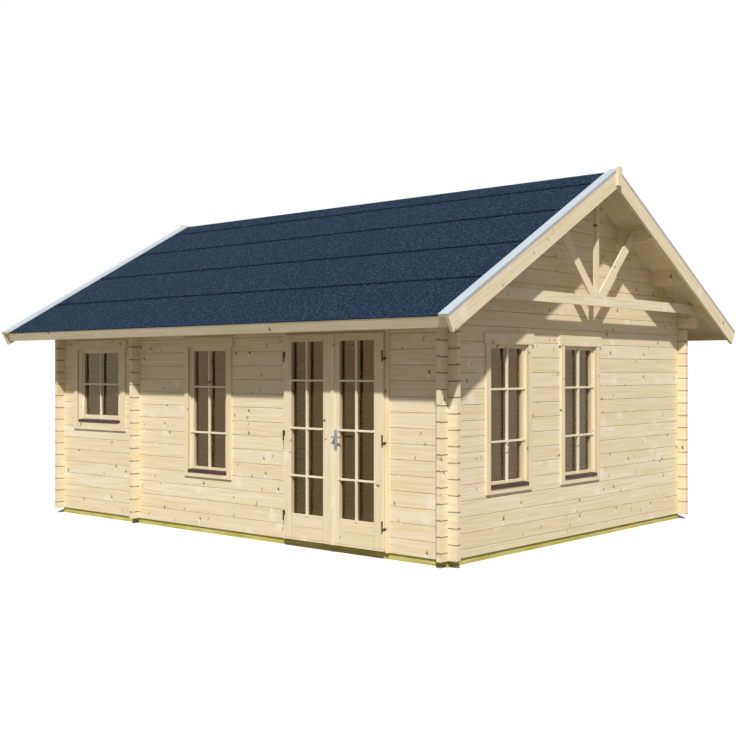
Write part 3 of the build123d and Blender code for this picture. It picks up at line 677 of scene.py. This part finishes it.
SPRUCE_BAR = spruce("planed_spruce_bars", "zxy", clear=0.9, pale="#F7EDD8", deep="#EEE0C2")
roof_run = (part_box("front_roof_boards")[0][0], ROOF_BOARD)
floor_run = (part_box("floor_boards")[0][1], FLOOR_BOARD)
ROOF_BOARDS = spruce("spruce_roof_boards", "slope_boards", boards=roof_run)
FLOOR_BOARDS = spruce("oiled_spruce_floor", "xyz", boards=floor_run, pale="#CDB083", deep="#B8996A")
# painted light: the inner flange is drawn near white, far paler than the trim of the same coated steel
PAINTED_PALE_FLANGE = coated_steel("coated_steel_flange", "#F8FCFF", "#EEF4FA", "#F2F8FC")

front_logs = log_wall("spruce_logs_front", "xzy", LOG_BASE, FRONT_MIDDLE, GABLE_X)
back_logs = log_wall("spruce_logs_back", "xzy", LOG_BASE, -FRONT_MIDDLE, GABLE_X)
right_logs = log_wall("spruce_logs_right_gable", "yzx", HALF_JOINT, GABLE_MIDDLE, -FRONT_Y)
left_logs = log_wall("spruce_logs_left_gable", "yzx", HALF_JOINT, -GABLE_MIDDLE, -FRONT_Y)
cross_logs = log_wall("spruce_logs_cross_wall", "yzx", HALF_JOINT, CROSS_MIDDLE, -FRONT_Y)
finish(front_logs, "front_wall_left", "front_wall_right", "front_top_log")
finish(back_logs, "back_wall", "back_top_log")
finish(right_logs, "right_gable_wall")
finish(left_logs, "left_gable_wall")
finish(cross_logs, "partition_front", "partition_back", "partition_head")
finish(spruce("planed_spruce_along_x", "xzy"), "wall_plates", "ridge_purlin", "purlins")
finish(spruce("spruce_fascia", "xzy", clear=0.55, pale="#F8EACB", deep="#EBDAB6"), "fascias")
finish(spruce("spruce_tie_beams", "yzx"), "tie_beams")
finish(spruce("spruce_king_posts", "zyx"), "king_posts", "finials")
finish(spruce("spruce_struts", "strut"), "struts")
finish(spruce("spruce_barge_boards", "slope", clear=0.55), "front_barge_boards", "back_barge_boards")
battens = spruce("spruce_verge_battens", "slope", pale="#DDD08E", deep="#C2B266")
finish(battens, "front_verge_battens", "back_verge_battens")

casing_gaps = window_boards("casing", CASING_TOP)
sash_panes = window_boards("pane", FULL_HEIGHT)
leaf_middles = (DOOR_MIDDLE - DOOR_PANE, DOOR_MIDDLE + DOOR_PANE)
leaf_panes = [(False, middle, DOOR_PANE_HALF, FULL_HEIGHT) for middle in leaf_middles]
doorway = [(False, DOOR_MIDDLE, DOORWAY_HALF, DOORWAY_TOP)]
door_leaves = spruce("spruce_door_leaves", "", clear=0.85, openings=leaf_panes, lines=DOOR_RAIL_JOINTS)
finish(spruce("spruce_casings", "", clear=0.85, openings=casing_gaps), "window_casings")
finish(spruce("spruce_sashes", "", clear=0.92, openings=sash_panes), "window_sashes")
finish(door_leaves, "left_door_leaf", "right_door_leaf")
finish(spruce("spruce_door_frame", "", clear=0.85, openings=doorway), "door_frame", "door_casings")
finish(SPRUCE_BAR, "door_cover_strip")
finish(treated_timber("treated_timber_along_x", "xzy"), "long_base_beams")
finish(treated_timber("treated_timber_along_y", "yzx"), "end_base_beams", "floor_joists")
finish(hardwood("oiled_hardwood"), "threshold")
finish(stained_timber("stained_softwood"), "window_sills")
finish(slate_felt("slate_grit_felt"), "front_felt", "back_felt")
# the last colour, for the lip, is painted shade
steel_trim = coated_steel("coated_steel_trim", "#BCC7CF", "#A3AEB8", "#AFAFB4")
finish(steel_trim, "front_verge_trims", "back_verge_trims")
finish(float_glass("float_glass"), "window_glass", "left_door_glass", "right_door_glass")
finish(satin_steel("satin_stainless_steel"), "door_handle")
finish(bronzed_steel("bronzed_steel"), "hinge_pins", "left_hinge_leaves", "right_hinge_leaves")


# ---- Mesh helpers -----------------------------------------------------------
def blocks(cuts, inside, place):
    """A closed mesh of the cells between three lists of cuts that are inside.

    Place turns u, v, w to a point.
    """
    cuts = [sorted(set(round(value, 6) for value in axis)) for axis in cuts]
    middle = [[(a + b) / 2 for a, b in zip(axis, axis[1:])] for axis in cuts]
    count = [len(axis) for axis in middle]
    full = {
        (i, j, k)
        for i in range(count[0])
        for j in range(count[1])
        for k in range(count[2])
        if inside(middle[0][i], middle[1][j], middle[2][k])
    }
    mesh = bmesh.new()
    corners = {}

    def corner(key):
        if key not in corners:
            corners[key] = mesh.verts.new(place(*(cuts[axis][key[axis]] for axis in range(3))))
        return corners[key]

    for cell in full:
        for axis in range(3):
            for side in (0, 1):
                neighbour = list(cell)
                neighbour[axis] += 2 * side - 1
                if tuple(neighbour) in full:
                    continue
                one, two = [a for a in range(3) if a != axis]
                ring = []
                for step in ((0, 0), (1, 0), (1, 1), (0, 1)):
                    key = list(cell)
                    key[axis] += side
                    key[one] += step[0]
                    key[two] += step[1]
                    ring.append(corner(tuple(key)))
                mesh.faces.new(ring)
    bmesh.ops.recalc_face_normals(mesh, faces=mesh.faces)
    return mesh


def ease(mesh, width):
    """Rounds the outer edges of a mesh."""
    sharp = [edge for edge in mesh.edges if edge.is_manifold and edge.calc_face_angle_signed() > 0.5]
    bmesh.ops.bevel(mesh, geom=sharp, offset=width, segments=2, affect="EDGES", profile=0.5)


def new_object(name, mesh, material):
    """An object from a mesh, in the scene, with its material."""
    data = bpy.data.meshes.new(name)
    mesh.to_mesh(data)
    mesh.free()
    data.materials.append(material)
    made = bpy.data.objects.new(name, data)
    bpy.context.scene.collection.objects.link(made)
    return made


def piece(name, mesh, body, material, replaced=()):
    """Makes a piece from a mesh. It rides on a body, has a finish, and may stand for CAD nodes."""
    made = new_object(name, mesh, material)
    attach(made, body)
    if replaced:
        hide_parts(*replaced)


# ---- Glazing bars -----------------------------------------------------------
def glazing_bars(name, body, pane, reach, levels, place):
    """A lattice of bars on one pane: an upright in the middle, and level bars over stiles and rails.

    Pane and reach are each the low and high u and v, of the glass and of the ends of the bars.
    """
    (u0, v0), (u1, v1) = pane
    (end_u0, end_v0), (end_u1, end_v1) = reach
    middle = (u0 + u1) / 2
    half = BAR / 2
    across = [(v - half, v + half) for v in levels]

    def inside(u, v, w):
        on_upright = abs(u - middle) < half
        on_cross = any(low < v < high for low, high in across)
        in_pane = u0 < u < u1 and v0 < v < v1
        return (on_upright or on_cross) and (in_pane or w < BAR_PROUD)

    cuts_u = [end_u0, u0, middle - half, middle + half, u1, end_u1]
    cuts_v = [end_v0, v0, v1, end_v1] + [value for pair in across for value in pair]
    mesh = blocks([cuts_u, cuts_v, [0.0, BAR_PROUD, BAR_DEPTH]], inside, place)
    ease(mesh, BAR_EDGE)
    piece(name, mesh, body, SPRUCE_BAR)


def facing_front(face_y):
    """Places u, v, w on a frame that faces -Y: w goes in from the faces of its bars."""
    return lambda u, v, w: Vector((u, face_y - BAR_PROUD + w, v))


def facing_gable(face_x):
    """Places u, v, w on a frame that faces +X."""
    return lambda u, v, w: Vector((face_x + BAR_PROUD - w, u, v))


for name, (on_gable, middle, kind) in WINDOWS.items():
    place = facing_gable(GABLE_X - SASH_BACK) if on_gable else facing_front(FRONT_Y + SASH_BACK)
    pane = ((middle - kind["pane"], kind["low"]), (middle + kind["pane"], kind["high"]))
    reach = ((middle - kind["lining"], kind["sill"]), (middle + kind["lining"], LINING_TOP))
    glazing_bars(name, "cabin", pane, reach, kind["levels"], place)

for side in ("left", "right"):
    low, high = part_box(side + "_door_glass")
    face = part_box(side + "_door_leaf")[0][1]
    reach = ((low[0] - BAR_LAP, low[2] - BAR_LAP), (high[0] + BAR_LAP, high[2] + BAR_LAP))
    pane = ((low[0], low[2]), (high[0], high[2]))
    glazing_bars(side + "_door_bars", side + "_door", pane, reach, DOOR_LEVELS, facing_front(face))


# ---- Boards and verge flanges -----------------------------------------------
def add_boards(mesh, low, high, width, ends, thickness, place):
    """Adds boards side by side, with V-joints on the face where w is nought."""
    count = round((high - low) / width)
    step = (high - low) / count
    for number in range(count):
        left, right = low + number * step + BOARD_GAP, low + (number + 1) * step - BOARD_GAP
        outline = [
            (left, BOARD_JOINT),
            (left + BOARD_JOINT, 0),
            (right - BOARD_JOINT, 0),
            (right, BOARD_JOINT),
            (right, thickness),
            (left, thickness),
        ]
        rings = [[mesh.verts.new(place(u, end, w)) for u, w in outline] for end in ends]
        mesh.faces.new(rings[0])
        mesh.faces.new(rings[1][::-1])
        for a in range(len(outline)):
            b = (a + 1) % len(outline)
            mesh.faces.new([rings[0][b], rings[0][a], rings[1][a], rings[1][b]])
    bmesh.ops.recalc_face_normals(mesh, faces=mesh.faces)


def on_slope(side):
    """Places u along the ridge, v down the slope and w up from the underside of the roof boards.

    Side is -1 in front and 1 at the back. Where v is nought the two slopes meet in a plumb cut.
    """

    def place(u, v, w):
        if v == 0:
            return Vector((u, 0.0, RIDGE_Z + w / math.cos(PITCH)))
        out = v * math.cos(PITCH) + w * math.sin(PITCH)
        return Vector((u, side * out, RIDGE_Z - v * math.sin(PITCH) + w * math.cos(PITCH)))

    return place


for name, side in (("front", -1), ("back", 1)):
    low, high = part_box(name + "_roof_boards")
    mesh = bmesh.new()
    add_boards(mesh, low[0], high[0], ROOF_BOARD, (0, EAVE_RUN), ROOF_THICKNESS, on_slope(side))
    piece(name + "_roof_boarding", mesh, "cabin", ROOF_BOARDS, [name + "_roof_boards"])

    # the inner flange of the verge trims, down the batten to the felt
    for end_name, end in (("left", -1), ("right", 1)):
        outer = end * (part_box(name + "_verge_trims")[1][0] - TRIM_WIDTH)
        cuts = [(outer, outer - end * TRIM_SHEET), (0, EAVE_RUN), (FELT_TOP, TRIM_TOP)]
        flange = blocks(cuts, lambda u, v, w: True, on_slope(side))
        piece(f"{name}_{end_name}_verge_flange", flange, "cabin", PAINTED_PALE_FLANGE)

floor_low, floor_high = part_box("floor_boards")
cross_low, cross_high = (corner[0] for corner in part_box("partition_front"))
mesh = bmesh.new()
for ends in ((floor_low[0], cross_low), (cross_high, floor_high[0])):
    add_boards(
        mesh,
        floor_low[1],
        floor_high[1],
        FLOOR_BOARD,
        ends,
        floor_high[2] - floor_low[2],
        lambda u, v, w: Vector((v, u, floor_high[2] - w)),
    )
piece("floor_boarding", mesh, "cabin", FLOOR_BOARDS, ["floor_boards"])


# ---- Light, floor and camera ------------------------------------------------
def seen_directly(add):
    """One for what the eye sees, also in metal or through glass, and nought for light on things."""
    path = add("LightPath")
    through = add("Math MAXIMUM", path["Is Glossy Ray"], path["Is Transmission Ray"])
    seen = add("Math MAXIMUM", path["Is Camera Ray"], through)
    return add("Math MULTIPLY", seen, add("Math LESS_THAN", path["Diffuse Depth"], 0.5))


def pale_ground():
    """Plain pale ground: white to the eye, and a mid grey to the light that it returns."""
    material, add = new_material("pale_ground")
    surface = add(
        "BsdfPrincipled",
        Base_Color=add("Mix RGBA", seen_directly(add), linear("#86867F"), linear("#FFFFFF")),
        Roughness=1.0,
        Specular_IOR_Level=0.0,
    )
    add("OutputMaterial", surface)
    return material


grid = bmesh.new()
bmesh.ops.create_grid(grid, x_segments=4, y_segments=4, size=60.0)
new_object("ground", grid, pale_ground())

world = bpy.data.worlds.new("studio")
bpy.context.scene.world = world
add = empty_tree(world)
white = (1.0, 1.0, 1.0, 1.0)
grey = (0.27, 0.276, 0.28, 1.0)
add("OutputWorld", add("Background", add("Mix RGBA", seen_directly(add), grey, white)))

light = bpy.data.lights.new("key", "SUN")
light.energy = 4.1
light.angle = math.radians(1.5)
light.color = (1.0, 0.985, 0.955)
lamp = bpy.data.objects.new("key", light)
lamp.rotation_euler = Vector((-1.0, 1.18, -1.58)).to_track_quat("-Z", "Y").to_euler()
bpy.context.scene.collection.objects.link(lamp)

camera = bpy.data.objects.new("camera", bpy.data.cameras.new("camera"))
camera.data.lens = 55.15
camera.data.sensor_width = 36.0
camera.data.clip_end = 200.0
camera.location = (8.4548, -9.5082, 1.6316)
camera.rotation_euler = (math.radians(90 + 0.123), 0.0, math.radians(41.456))
bpy.context.scene.collection.objects.link(camera)
bpy.context.scene.camera = camera
bpy.context.scene.view_settings.view_transform = "Standard"
